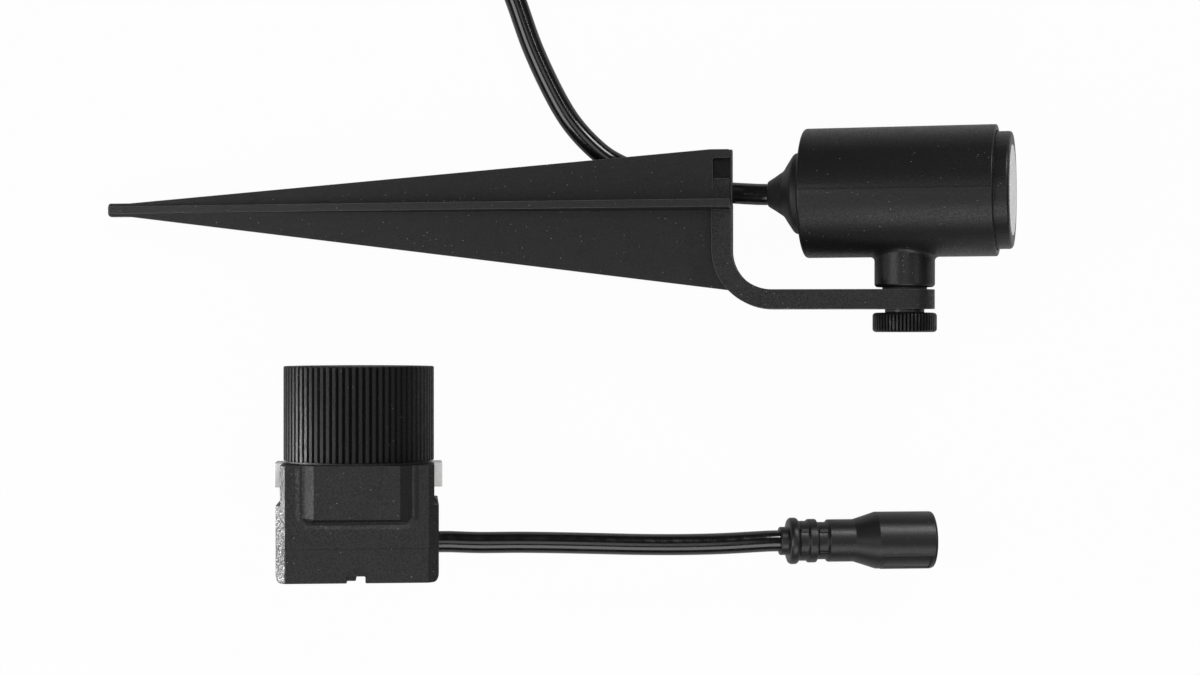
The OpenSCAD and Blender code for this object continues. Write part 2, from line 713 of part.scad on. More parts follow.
// Lead and socket: moulded relief with two grooves, shell with a cone, insert with two contacts
module connector_lead() color(soft_black) tube(lead_route);
relief_l = 13.2;
relief_x = relief_l - socket_l;
module socket_relief() color(soft_black) on_socket() {
    sleeve = cord_r + 0.95;
    flange = waist_d / 2 + 0.5;
    ring = waist_d / 2;
    neck = waist_d / 2 - 0.5;
    steps = [[0, 0], [sleeve, 0], [sleeve, 2], [flange, 2.4], [flange, 4.8], [neck, 5.2], [neck, 7.2],
        [ring, 7.4], [ring, 9.8], [neck - 0.3, 10.2], [neck - 0.3, 12.6]];
    turned_x([for (step = steps) [step.x, step.y - socket_l], [ring, relief_x], [0, relief_x]]);
}
insert_deep = 8;
insert_r = mouth_d / 2 - 0.6;
contact_r = plug_pin_d / 2 + 0.4;
contact_x = 1 - mouth_l - insert_deep;
module socket_shell() color(soft_black) on_socket() {
    bore = mouth_d / 2;
    turned_x([[0, relief_x], [waist_d / 2, relief_x], [waist_d / 2, -barrel_l - 6.3],
        [barrel_d / 2 - 0.2, -barrel_l - 0.4], [barrel_d / 2, -barrel_l + 0.4], [barrel_d / 2, -0.6],
        [barrel_d / 2 - 0.6, 0], [bore, 0], [bore, -mouth_l], [insert_r, -mouth_l],
        [insert_r, -mouth_l - insert_deep], [0, -mouth_l - insert_deep]]);
}
module at_contacts() {
    for (side = [-1, 1]) translate([0, side * plug_pitch / 2, 0]) children();
}
module socket_insert() color("#19191a") on_socket() difference() {
    rod_x(insert_r - seat, -mouth_l - insert_deep, -mouth_l);
    at_contacts() rod_x(contact_r + seat, contact_x, -mouth_l + past);
}
module socket_contacts() color("#c9a64b") on_socket() at_contacts()
    ring_x(contact_r, plug_pin_d / 2 + seat, contact_x, -mouth_l - slip);

stake();
bracket();
head_housing();
boss_insert();
heat_slug();
led_board();
board_screws();
led_chip();
driver_board();
driver_parts();
collimator();
lens_seal();
lens();
front_bezel();
cable_gland();
gland_nut();
supply_wires();
pivot_spacer();
clamp_washer();
thumb_stud();
thumb_knob();
cable_link();
lamp_cable();
cable_coil();
coil_tie();
cable_tail();
plug_body();
plug_pins();
plug_seal();
clamp_body();
cable_seal();
piercing_pins();
contact_wires();
lead_grommet();
base_cover();
base_screws();
cap_gasket();
pressure_pad();
screw_cap();
connector_lead();
socket_relief();
socket_shell();
socket_insert();
socket_contacts();
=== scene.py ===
import json
from math import atan2, cos, pi, radians, sin, sqrt

import bpy
from mathutils import Matrix, Vector


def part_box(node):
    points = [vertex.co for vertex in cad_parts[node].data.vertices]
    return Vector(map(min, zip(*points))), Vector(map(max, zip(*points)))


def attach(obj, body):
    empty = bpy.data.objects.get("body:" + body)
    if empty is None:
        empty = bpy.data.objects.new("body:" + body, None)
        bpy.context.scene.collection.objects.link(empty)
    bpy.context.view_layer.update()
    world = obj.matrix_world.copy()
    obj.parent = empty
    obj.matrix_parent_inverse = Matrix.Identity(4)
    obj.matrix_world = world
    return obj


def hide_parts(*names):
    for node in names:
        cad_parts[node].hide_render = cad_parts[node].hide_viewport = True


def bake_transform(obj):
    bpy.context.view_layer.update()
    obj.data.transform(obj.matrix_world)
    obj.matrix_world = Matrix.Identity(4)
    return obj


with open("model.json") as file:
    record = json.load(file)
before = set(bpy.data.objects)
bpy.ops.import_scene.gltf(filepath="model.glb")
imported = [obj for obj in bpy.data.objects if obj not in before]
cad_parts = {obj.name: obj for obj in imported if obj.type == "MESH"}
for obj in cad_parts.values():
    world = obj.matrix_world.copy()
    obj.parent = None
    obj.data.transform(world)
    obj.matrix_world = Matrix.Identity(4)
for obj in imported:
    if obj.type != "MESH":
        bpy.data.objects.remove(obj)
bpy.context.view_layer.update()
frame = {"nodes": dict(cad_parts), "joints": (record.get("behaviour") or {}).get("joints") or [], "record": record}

mm = 0.001

# View: the lamp lies on a white table and is seen from straight above,
# by a level camera 0.6 m up with a short telephoto lens.
eye = bpy.data.objects.new("eye", bpy.data.cameras.new("eye"))
bpy.context.scene.collection.objects.link(eye)
eye.location = (11.656 * mm, 3.85 * mm, 600 * mm)
eye.data.lens = 64.5
eye.data.sensor_width = 36
eye.data.clip_start = 0.01
bpy.context.scene.camera = eye
bpy.context.scene.view_settings.view_transform = "Standard"


# Table and studio light: a sheet of white card that stays white to the eye and still takes the
# shadow of the lamp. Soft boxes hang overhead, over the near and far edges and at the left;
# two narrow strips of light draw bright lines along the edges and the cables.
class Wire:
    """An output of a shader node; arithmetic on it adds the Math nodes that work it out."""

    def __init__(self, tree, socket):
        self.tree = tree
        self.socket = socket

    def math(self, operation, *values):
        return node(self.tree, "ShaderNodeMath", {"operation": operation}, dict(enumerate(values)))

    def __add__(self, other):
        return self.math("ADD", self, other)

    def __radd__(self, other):
        return self.math("ADD", other, self)

    def __sub__(self, other):
        return self.math("SUBTRACT", self, other)

    def __rsub__(self, other):
        return self.math("SUBTRACT", other, self)

    def __mul__(self, other):
        return self.math("MULTIPLY", self, other)

    def __rmul__(self, other):
        return self.math("MULTIPLY", other, self)

    def __truediv__(self, other):
        return self.math("DIVIDE", self, other)

    def __rtruediv__(self, other):
        return self.math("DIVIDE", other, self)

    def ramp(self, low, high, start=0.0, end=1.0):
        """Goes smoothly from start to end as the wire goes from low to high."""
        settings = {"interpolation_type": "SMOOTHSTEP"}
        return node(
            self.tree, "ShaderNodeMapRange", settings,
            {"Value": self, 1: low, 2: high, 3: start, 4: end},
        )

    def between(self, dark, light):
        """Mixes two colours with the wire as the share of the second."""
        settings = {"data_type": "RGBA"}
        return node(self.tree, "ShaderNodeMix", settings, {0: self, 6: dark, 7: light}, 2)


def node(tree, kind, settings, inputs, output=0):
    made = tree.nodes.new(kind)
    for name, value in settings.items():
        setattr(made, name, value)
    for name, value in inputs.items():
        if isinstance(value, Wire):
            tree.links.new(value.socket, made.inputs[name])
        else:
            made.inputs[name].default_value = value
    return Wire(tree, made.outputs[output])


def blank(name):
    """A material with only its output node, and that node's surface socket."""
    material = bpy.data.materials.new(name)
    material.use_nodes = True
    material.node_tree.nodes.clear()
    tree = material.node_tree
    return material, tree, tree.nodes.new("ShaderNodeOutputMaterial").inputs["Surface"]


bpy.ops.object.select_all(action="DESELECT")
bpy.ops.mesh.primitive_plane_add(size=6, location=(0, 0, -0.2 * mm))
table = bpy.context.object
table.name = "table"
card, tree, surface = blank("white card")
rays = "ShaderNodeLightPath"
seen = node(tree, rays, {}, {}, "Is Camera Ray")
mirrored = node(tree, rays, {}, {}, "Is Glossy Ray") + node(tree, rays, {}, {}, "Is Transmission Ray")
matte = node(tree, "ShaderNodeBsdfDiffuse", {}, {"Color": (0.6, 0.6, 0.6, 1)})
glow = node(tree, "ShaderNodeEmission", {}, {"Color": (1, 1, 1, 1), "Strength": 1.0})
lit = node(tree, "ShaderNodeMixShader", {}, {0: seen * 0.97 + mirrored * 0.2, 1: matte, 2: glow})
tree.links.new(lit.socket, surface)
table.data.materials.append(card)

sky = bpy.data.worlds.new("sky")
bpy.context.scene.world = sky
sky.use_nodes = True
sky.node_tree.nodes["Background"].inputs["Color"].default_value = (1, 1, 1, 1)
sky.node_tree.nodes["Background"].inputs["Strength"].default_value = 0.06


def soft_box(name, place, aim, wide, tall, power, spread=180):
    """A soft box at a place, turned so that it faces the aim."""
    box = bpy.data.objects.new(name, bpy.data.lights.new(name, "AREA"))
    bpy.context.scene.collection.objects.link(box)
    box.location = place
    box.rotation_euler = (Vector(aim) - Vector(place)).to_track_quat("-Z", "Y").to_euler()
    box.data.shape = "RECTANGLE"
    box.data.size = wide
    box.data.size_y = tall
    box.data.energy = power
    box.data.spread = radians(spread)


soft_box("top box", (0, 0, 1.3), (0, 0, 0), 0.6, 0.6, 1.8)
soft_box("near box", (0.1, -0.84, 0.89), (0, 0.02, 0), 1.0, 0.65, 6.8)
soft_box("left box", (-0.62, -0.1, 0.62), (0, 0, 0), 0.45, 0.45, 3)
soft_box("low strip", (-0.3, -0.07, 0.02), (0, -0.08, 0.02), 0.1, 0.03, 0.057, 24)
soft_box("far box", (0.5, 0.85, 0.75), (0, 0, 0), 0.4, 0.3, 5.4)
soft_box("right strip", (0.66, 0.35, 0.84), (-0.02, 0.1, 0), 0.8, 0.04, 1.4)


# Stake: a spike of four thin vanes moulded in one piece of black plastic, blunt at its tip,
# with a cut for the strap and a pocket for its tongue at the thick end.
def placed(piece, place):
    """Moves a piece to its place in the lamp and leaves that place in its mesh."""
    bpy.ops.object.select_all(action="DESELECT")
    piece.select_set(True)
    bpy.context.view_layer.objects.active = piece
    piece.matrix_world = place
    bpy.ops.object.transform_apply(location=True, rotation=True, scale=True)
    return piece


def plate(name, outline, low, high, place=Matrix()):
    """A closed outline in millimetres, filled and extruded from one height to another."""
    bpy.ops.object.select_all(action="DESELECT")
    bpy.ops.mesh.primitive_circle_add(vertices=len(outline), radius=1, fill_type="NGON")
    piece = bpy.context.object
    piece.name = name
    for corner, (x, y) in zip(piece.data.vertices, outline):
        corner.co = (x * mm, y * mm, low * mm)
    bpy.ops.object.mode_set(mode="EDIT")
    bpy.ops.mesh.select_all(action="SELECT")
    bpy.ops.mesh.extrude_region_move(TRANSFORM_OT_translate={"value": (0, 0, (high - low) * mm)})
    bpy.ops.mesh.select_all(action="SELECT")
    bpy.ops.mesh.normals_make_consistent(inside=False)
    bpy.ops.object.mode_set(mode="OBJECT")
    return placed(piece, place)


def brick(name, low, high, place=Matrix()):
    """A box between two opposite corners in millimetres."""
    (x0, y0, z0), (x1, y1, z1) = low, high
    return plate(name, [(x0, y0), (x1, y0), (x1, y1), (x0, y1)], z0, z1, place)


def arc(x, y, r, start, end, steps):
    """Points on an arc, its angles in degrees."""
    turn = [radians(start + (end - start) * i / steps) for i in range(steps + 1)]
    return [(x + r * cos(a), y + r * sin(a)) for a in turn]


def combine(piece, other, operation):
    """Joins another piece to a piece, or cuts it away, and uses it up."""
    bpy.ops.object.select_all(action="DESELECT")
    piece.select_set(True)
    bpy.context.view_layer.objects.active = piece
    step = piece.modifiers.new("combine", "BOOLEAN")
    step.operation = operation
    step.object = other
    step.solver = "EXACT"
    bpy.ops.object.modifier_apply(modifier="combine")
    bpy.data.objects.remove(other)
    return piece


def softened(piece, width, segments=3, angle=30, slot=-1):
    """Rounds the sharp edges, which take the material in that slot, and shades the faces between."""
    bpy.ops.object.select_all(action="DESELECT")
    piece.select_set(True)
    bpy.context.view_layer.objects.active = piece
    bpy.ops.object.mode_set(mode="EDIT")
    bpy.ops.mesh.select_all(action="SELECT")
    bpy.ops.mesh.remove_doubles(threshold=0.01 * mm)
    bpy.ops.mesh.dissolve_limited(angle_limit=radians(0.5))
    bpy.ops.mesh.normals_make_consistent(inside=False)
    bpy.ops.object.mode_set(mode="OBJECT")
    bpy.ops.object.shade_smooth_by_angle(angle=radians(angle))
    step = piece.modifiers.new("round", "BEVEL")
    step.width = width * mm
    step.segments = segments
    step.limit_method = "ANGLE"
    step.angle_limit = radians(angle)
    step.miter_outer = "MITER_ARC"
    step.harden_normals = True
    step.material = slot
    bpy.ops.object.modifier_apply(modifier="round")
    return piece


def plastic(name, tone, rough, grain, depth, specks, index=1.44):
    """Moulded plastic: a dark tone, a fine grain in the surface and a few pale specks of dust."""
    material, tree, surface = blank(name)
    where = node(tree, "ShaderNodeTexCoord", {}, {}, "Object")
    fine = node(tree, "ShaderNodeTexNoise", {}, {"Vector": where, "Scale": 1 / (grain * mm), "Detail": 3})
    broad = node(tree, "ShaderNodeTexNoise", {}, {"Vector": where, "Scale": 1 / (9 * mm), "Detail": 3})
    cells = node(tree, "ShaderNodeTexVoronoi", {}, {"Vector": where, "Scale": 1 / (1.3 * mm)})
    chosen = node(tree, "ShaderNodeTexNoise", {}, {"Vector": where, "Scale": 1 / (2.3 * mm)})
    dust = cells.ramp(0.1, 0.05) * chosen.ramp(0.5, 0.54) * specks
    share = fine.ramp(0.35, 0.65) * 0.8 + broad.ramp(0.3, 0.7) * 0.2
    spread = min(0.75, depth * 10)
    dark = (tone - tone * spread, tone - tone * spread, tone - tone * spread, 1)
    light = (tone + 2 * tone * spread, tone + 2 * tone * spread, tone + 2 * tone * spread, 1)
    colour = dust.between(share.between(dark, light), (0.32, 0.32, 0.31, 1))
    relief = node(
        tree, "ShaderNodeBump", {},
        {"Strength": 1.0, "Distance": depth * mm, "Height": fine},
    )
    gloss = rough - (share - 0.5) * 0.4 * spread
    shader = node(
        tree, "ShaderNodeBsdfPrincipled", {},
        {"Base Color": colour, "Roughness": gloss, "Normal": relief, "IOR": index},
    )
    tree.links.new(shader.socket, surface)
    return material


def dressed(piece, materials, body, slot, *nodes):
    """Gives a piece its materials and body, and hides the pieces of the frame that it shows."""
    for material in materials:
        piece.data.materials.append(material)
    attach(piece, body)
    if nodes:
        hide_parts(*nodes)


joints = {joint["name"]: joint for joint in frame["joints"]}
mounts = {mount["name"]: mount for mount in frame["record"]["mounts"]}
soil = Vector(mounts["stake_in_soil"]["axis"])
stake_lean = atan2(-soil.z, -soil.x)
pivot = Vector(joints["head_tilt"]["pos_m"])
pivot_x = 46.2
lamp = Matrix.Translation(pivot) @ Matrix.Rotation(-stake_lean, 4, "Y")
lamp = lamp @ Matrix.Translation((-pivot_x * mm, 0, 0))
flat = Matrix.Rotation(pi / 2, 4, "X")

long, tip, tip_end, collar = 173, 1.85, 167, 6
strap_t, bend_r, arm_drop = 5.2, 10.8, 22.5
bend_y = bend_r - arm_drop
blade = plate(
    "stake blade",
    [
        (-long, -1.35), (-long + 0.5, -tip), (-tip_end, -tip), (0, -22.7), (0, 14.5), (-0.3, 15.2),
        (-1, 15.5), (-collar, 15.5), (-tip_end, tip), (-long + 0.5, tip), (-long, 1.35),
    ],
    -1.1, 1.1,
)
rib = plate(
    "stake rib",
    [
        (-long, -1.35), (-long + 0.5, -tip), (-collar, -18.5), (-1, -18.5), (0, -8), (0, 18.5),
        (-collar, 18.5), (-long + 0.5, tip), (-long, 1.35),
    ],
    -1, 1, flat,
)
combine(blade, rib, "UNION")
combine(blade, brick("collar", (-collar, 0.5, -5.3), (0, 15.5, -0.5)), "UNION")
room = [(1, -1), (-strap_t - 0.1, -1), (-strap_t - 0.1, bend_y)]
room += arc(bend_r, bend_y, bend_r + strap_t + 0.1, 180, 231, 12)
room += [(1, -24)]
combine(blade, plate("strap room", room, -6, 6), "DIFFERENCE")
combine(blade, brick("pocket", (-5.2, 1, -4.1), (-0.35, 13.1, 6)), "DIFFERENCE")
combine(blade, brick("tongue hole", (-4.7, -2, -4.1), (-0.5, 2, -0.7)), "DIFFERENCE")
grained = plastic("grained black", 0.005, 0.5, 0.45, 0.03, 0.8)
# Paler, glossier plastic for the rounded edges: a painted highlight that draws bright lines of light along them.
painted_edge_highlight = plastic("painted edge highlight", 0.08, 0.38, 0.5, 0.02, 0)
dressed(blade, [grained, painted_edge_highlight], "lamp_base", "black_plastic", "stake")
# The rounded edges take the painted edge highlight in the second slot.
stake = placed(softened(blade, 0.5, 4, slot=1), lamp)
stake.name = "stake_visual"

# Bracket: a flat strap moulded with a wide bend, its top tongue pushed into the stake's
# pocket and its round end clamped under the lamp by the thumb screw.
strap_w, leg_top = 16, -1.1
outline = [(-strap_t, leg_top), (-strap_t, bend_y)]
outline += arc(bend_r, bend_y, bend_r + strap_t, 180, 270, 24)[1:]
outline += [(pivot_x + strap_w / 2, -arm_drop - strap_t), (pivot_x + strap_w / 2, -arm_drop)]
outline += arc(bend_r, bend_y, bend_r, 270, 180, 24)
outline += [(0, leg_top)]
strap = plate("bracket_visual", outline, -strap_w / 2, strap_w / 2)
end = [(-strap_t - 1, -strap_w / 2), (pivot_x, -strap_w / 2)]
end += arc(pivot_x, 0, strap_w / 2, -90, 90, 40)[1:-1]
end += [(pivot_x, strap_w / 2), (-strap_t - 1, strap_w / 2)]
combine(strap, plate("round end", end, -1, 30, flat), "INTERSECT")
combine(strap, brick("tongue", (-4.6, leg_top - 1, -4), (-0.6, 7.7, -0.8)), "UNION")
combine(strap, brick("tongue face", (-5.1, 1.1, -2), (-0.45, 7.7, 0.5)), "UNION")
combine(strap, plate("hole", arc(pivot_x, 0, 2.58, 0, 352.5, 47), 20, 30, flat), "DIFFERENCE")
coarse = plastic("coarse black", 0.005, 0.5, 0.5, 0.08, 0.8)
dressed(strap, [coarse, painted_edge_highlight], "lamp_base", "black_plastic", "bracket")
# The rounded edges take the painted edge highlight in the second slot.
placed(softened(strap, 0.8, 5, slot=1), lamp)

# Head housing: a tube of satin black plastic with a closed rear wall and a round boss below,
# moulded in two halves that meet along a fine line on top.
def shaded(piece, place, angle=30):
    """Cleans a new mesh, shades it smooth up to an angle with flats kept flat, and places it."""
    bpy.ops.object.mode_set(mode="EDIT")
    bpy.ops.mesh.select_all(action="SELECT")
    bpy.ops.mesh.remove_doubles(threshold=0.002 * mm)
    bpy.ops.mesh.dissolve_degenerate(threshold=0.001 * mm)
    bpy.ops.mesh.select_all(action="SELECT")
    bpy.ops.mesh.delete_loose()
    bpy.ops.mesh.select_all(action="SELECT")
    bpy.ops.mesh.fill_holes(sides=0)
    bpy.ops.mesh.select_all(action="SELECT")
    bpy.ops.mesh.normals_make_consistent(inside=False)
    bpy.ops.object.mode_set(mode="OBJECT")
    bpy.ops.object.shade_smooth_by_angle(angle=radians(angle))
    step = piece.modifiers.new("flats", "WEIGHTED_NORMAL")
    step.keep_sharp = True
    bpy.ops.object.modifier_apply(modifier="flats")
    return placed(piece, place)


def eased(corners, steps=5):
    """A closed outline of (x, y, setback) corners, each rounded from that far on either side."""
    points = []
    for i, (x, y, setback) in enumerate(corners):
        here = Vector((x, y))
        start = here + (Vector(corners[i - 1][:2]) - here).normalized() * setback
        end = here + (Vector(corners[(i + 1) % len(corners)][:2]) - here).normalized() * setback
        for k in range(steps + 1 if setback else 1):
            t = k / steps
            points.append(tuple((1 - t) ** 2 * start + 2 * t * (1 - t) * here + t * t * end))
    return points


def turned(name, profile, place=Matrix(), steps=128, angle=30):
    """A closed profile of (along, radius) pairs in millimetres, spun around the X axis."""
    bpy.ops.object.select_all(action="DESELECT")
    bpy.ops.mesh.primitive_circle_add(vertices=len(profile), radius=1)
    piece = bpy.context.object
    piece.name = name
    for corner, (x, r) in zip(piece.data.vertices, profile):
        corner.co = (x * mm, r * mm, 0)
    bpy.ops.object.mode_set(mode="EDIT")
    bpy.ops.mesh.select_all(action="SELECT")
    bpy.ops.mesh.spin(steps=steps, angle=2 * pi, center=(0, 0, 0), axis=(1, 0, 0))
    bpy.ops.object.mode_set(mode="OBJECT")
    return shaded(piece, place, angle)


def lofted(name, rings, place=Matrix(), angle=30):
    """A skin over closed rings of points in millimetres, in order, with both ends filled."""
    across, along = len(rings[0]), len(rings) - 1
    bpy.ops.object.select_all(action="DESELECT")
    bpy.ops.mesh.primitive_grid_add(x_subdivisions=across, y_subdivisions=along, size=1)
    piece = bpy.context.object
    piece.name = name
    for corner in piece.data.vertices:
        i = round((corner.co.x + 0.5) * across) % across
        k = round((corner.co.y + 0.5) * along)
        corner.co = Vector(rings[k][i]) * mm
    return shaded(piece, place, angle)


def joined(piece, *others):
    """Makes several meshes one piece."""
    bpy.ops.object.select_all(action="DESELECT")
    for other in others:
        other.select_set(True)
    piece.select_set(True)
    bpy.context.view_layer.objects.active = piece
    bpy.ops.object.join()
    return piece


low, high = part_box("lens")
lens_at = (low + high) / 2 - pivot
rest_lean = atan2(lens_at.z, lens_at.x)
head_y = lens_at.y / mm
hinge = Matrix.Translation(pivot) @ Matrix.Rotation(-rest_lean, 4, "Y")
head = hinge @ Matrix.Translation((0, head_y * mm, 0))
rear, front, head_r = -26.7, 24.6, 17.5
housing = turned(
    "head_visual",
    eased([
        (rear, 6.05, 0), (rear, head_r, 0.9), (front, head_r, 0.5), (front, 15.9, 0.3), (14.6, 15.9, 0),
        (14.6, 15, 0), (-23.7, 15, 0), (-23.7, 6.05, 0),
    ]),
    head,
)
seam = brick("seam", (rear - 1, -0.11, head_r - 0.35), (front - 0.5, 0.11, head_r + 1), head)
boss_r, boss_low, boss_fillet, boss_round = 8.05, -21.85, 1.1, 0.9
turns = [radians(a) for a in range(0, 360, 3)]


def barrel_at(r, a):
    """Height of the housing's underside at a place around the boss."""
    return head_y - sqrt(head_r**2 - (r * sin(a)) ** 2)


rings = [[(4.05 * cos(a), boss_low, 4.05 * sin(a)) for a in turns]]
for y, r in [(0, 1), (0.05, 0.62), (0.29, 0.29), (0.62, 0.05), (1, 0)]:
    r = boss_r - r * boss_round
    rings.append([(r * cos(a), boss_low + y * boss_round, r * sin(a)) for a in turns])
for lift in range(0, 91, 15):
    r = boss_r + boss_fillet * (1 - cos(radians(lift)))
    drop = boss_fillet * (1 - sin(radians(lift)))
    rings.append([(r * cos(a), barrel_at(r, a) - drop, r * sin(a)) for a in turns])
rings.append([(r * cos(a), barrel_at(r, a) + 0.8, r * sin(a)) for a in turns])
boss = lofted("boss", rings, hinge)
combine(housing, seam, "DIFFERENCE")
joined(housing, boss)
satin = plastic("satin black", 0.005, 0.4, 0.5, 0.04, 0.8, 1.42)
dressed(housing, [satin], "lamp_head", "black_plastic", "head_housing")

# Front bezel and lens: a black ring pressed into the front of the housing, holding a frosted
# disc that covers the light source.
bezel_x, aperture_r = 28.6, 12.2
bezel = turned(
    "bezel_visual",
    eased([
        (14.7, 13.6, 0), (14.7, 15.6, 0.2), (bezel_x, 15.6, 1), (bezel_x, aperture_r, 0.5),
        (27.2, aperture_r, 0), (27.2, 13.6, 0),
    ]),
    head,
)
dressed(bezel, [satin], "lamp_head", "black_plastic", "front_bezel")


def stuff(name, dark, light, rough, grain, metal=0.0, relief=0.0, coat=0.0):
    """An even material: two near colours mixed by a fine noise that also stands in the surface."""
    material, tree, surface = blank(name)
    where = node(tree, "ShaderNodeTexCoord", {}, {}, "Object")
    noise = node(tree, "ShaderNodeTexNoise", {}, {"Vector": where, "Scale": 1 / (grain * mm), "Detail": 3})
    share = noise.ramp(0.3, 0.7)
    values = {
        "Base Color": share.between((*dark, 1), (*light, 1)), "Metallic": metal, "Coat Weight": coat,
        "Roughness": rough + (share - 0.5) * 0.08,
    }
    if relief:
        height = {"Strength": 0.5, "Distance": relief * mm, "Height": noise}
        values["Normal"] = node(tree, "ShaderNodeBump", {}, height)
    shader = node(tree, "ShaderNodeBsdfPrincipled", {}, values)
    tree.links.new(shader.socket, surface)
    return material


lens = turned(
    "lens_visual",
    eased([(24.7, 0, 0), (24.7, 13.4, 0.2), (27.2, 13.4, 0.2), (27.2, 12.1, 0)])
    + [(28.55, 12.1), (28.7, 11.8), (28.82, 10.5), (28.95, 8), (29.05, 5), (29.1, 2), (29.1, 0)],
    head,
)
frosted = stuff("frosted cover", (0.84, 0.85, 0.85), (0.9, 0.91, 0.91), 0.12, 0.7, 0, 0, 1.0)
dressed(lens, [frosted], "lamp_head", "frosted_lens", "lens")

# Inside the head: the light source on its board and aluminium slug, the driver board behind it,
# the optic in front and the seal, insert, nut and wires that go with them.
steel = stuff("bright steel", (0.5, 0.5, 0.5), (0.62, 0.62, 0.62), 0.3, 0.3, 1.0)
brass = stuff("plain brass", (0.55, 0.4, 0.16), (0.66, 0.5, 0.22), 0.32, 0.3, 1.0)
aluminium = stuff("bare aluminium", (0.58, 0.59, 0.6), (0.7, 0.71, 0.72), 0.42, 0.25, 1.0, 0.01)
seal_rubber = stuff("seal rubber", (0.02, 0.02, 0.02), (0.035, 0.035, 0.035), 0.6, 0.3)
red_wire = stuff("red wire", (0.35, 0.04, 0.03), (0.42, 0.06, 0.04), 0.4, 0.5)


def coated(shown):
    """Gives each of the named solids its material."""
    for name, material in shown.items():
        frame["nodes"][name].data.materials.clear()
        frame["nodes"][name].data.materials.append(material)


coated({
    "heat_slug": aluminium,
    "led_board": stuff("white board", (0.7, 0.7, 0.68), (0.8, 0.8, 0.78), 0.4, 0.5),
    "board_screws": steel,
    "led_chip": stuff("phosphor", (0.75, 0.58, 0.1), (0.85, 0.68, 0.16), 0.5, 0.2),
    "driver_board": stuff("green board", (0.03, 0.13, 0.05), (0.04, 0.18, 0.07), 0.4, 0.4),
    "driver_parts": stuff("dark parts", (0.03, 0.03, 0.03), (0.05, 0.05, 0.05), 0.45, 0.4),
    "collimator": stuff("clear optic", (0.72, 0.76, 0.78), (0.8, 0.84, 0.86), 0.12, 0.8),
    "lens_seal": seal_rubber,
    "boss_insert": brass,
    "gland_nut": stuff("nut plastic", (0.02, 0.02, 0.02), (0.03, 0.03, 0.03), 0.5, 0.4),
    "supply_wires": red_wire,
    "thumb_stud": steel,
})

# Pivot: a thin spacer under the boss, a blackened washer under the strap and a ribbed knob
# moulded on the stud, which clamps the tilt of the head.
upright = hinge @ Matrix.Rotation(pi / 2, 4, "Z")


def span(name):
    """Where a piece on the pivot starts and ends, in millimetres from the pivot, and its radius."""
    low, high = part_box(name)
    return (low.y - pivot.y) / mm, (high.y - pivot.y) / mm, (high.x - low.x) / 2 / mm


start, end, r = span("pivot_spacer")
spacer = turned(
    "spacer_visual", eased([(start, 2.6, 0), (end, 2.6, 0), (end, r, 0.15), (start, r, 0.15)]), upright
)
dressed(spacer, [seal_rubber], "lamp_head", "soft_black", "pivot_spacer")
start, end, r = span("clamp_washer")
washer = turned(
    "washer_visual", eased([(start, 2.6, 0.1), (end, 2.6, 0.1), (end, r, 0.2), (start, r, 0.2)]), upright
)
blackened = stuff("blackened steel", (0.05, 0.05, 0.05), (0.08, 0.08, 0.08), 0.4, 0.4, 0.5)
dressed(washer, [blackened], "pivot_washer", "bright_steel", "clamp_washer")


def ribbed(ribs, y, r, deep, points=8):
    """A ring around the Y axis with flat ribs between round grooves, which are that deep."""
    ring = []
    for i in range(ribs * points):
        a = 2 * pi * i / (ribs * points)
        here = r - deep * max(0, cos(ribs * a)) ** 0.8
        ring.append((here * cos(a), y, here * sin(a)))
    return ring


start, end, r = span("thumb_knob")
steps = [
    (start + 0.5, 4.6, 0), (start + 0.5, 5.4, 0), (start, 6, 0), (start, r - 0.9, 0),
    (start + 0.12, r - 0.45, 0.25), (start + 0.45, r - 0.1, 0.6), (start + 0.8, r, 0.7), (end - 0.8, r, 0.7),
    (end - 0.45, r - 0.1, 0.6), (end - 0.12, r - 0.45, 0.25), (end, r - 0.9, 0), (end, 2.6, 0),
]
knob = lofted("knob_visual", [ribbed(54, *step) for step in steps], hinge)
dressed(knob, [satin], "thumb_screw", "black_plastic", "thumb_knob")

# Gland: a soft moulded boot on the cable, its round flange seated on the rear wall and its
# tail drawn in over two hollow cones to the cable.
gland_r, gland_l = 11, 10.3
boot = [(0, 0), (0, 3.2), (0.15, 3.45), (0.5, 3.7), (1.67, 4.4), (3.07, 5.32), (4.2, 6.08)]
boot += [(4.5, 6.35), (4.8, 6.75), (5.87, 8.45), (7.1, 10.3), (7.4, 10.64), (7.75, 10.88), (8.2, gland_r)]
boot += [(gland_l - 0.5, gland_r), (gland_l - 0.2, gland_r - 0.08), (gland_l - 0.02, gland_r - 0.3)]
boot += [(gland_l - 0.02, 6), (gland_l + 5.4, 6), (gland_l + 5.4, 0)]
gland = turned("gland_visual", [(rear - gland_l + x, r) for x, r in boot], head, angle=40)
soft = plastic("soft black", 0.015, 0.5, 0.6, 0.008, 0.3)
dressed(gland, [soft], "lamp_head", "soft_black", "cable_gland")

# Lamp cable: a round rubber-skinned cable that leaves the gland, runs under the stake to a
# bundled coil held by a tie, and ends in a plug.
def flowing(points, step=1.5):
    """A smooth line through the points of a route, in millimetres."""
    points = [Vector(p) for p in points]
    path = []
    for i in range(len(points) - 1):
        a, b = points[max(i - 1, 0)], points[i]
        c, d = points[i + 1], points[min(i + 2, len(points) - 1)]
        count = max(2, round((c - b).length / step))
        for k in range(count):
            t = k / count
            bend = (2 * a - 5 * b + 4 * c - d) * t**2 + (3 * b - a - 3 * c + d) * t**3
            path.append(b + 0.5 * ((c - a) * t + bend))
    return path + [points[-1]]


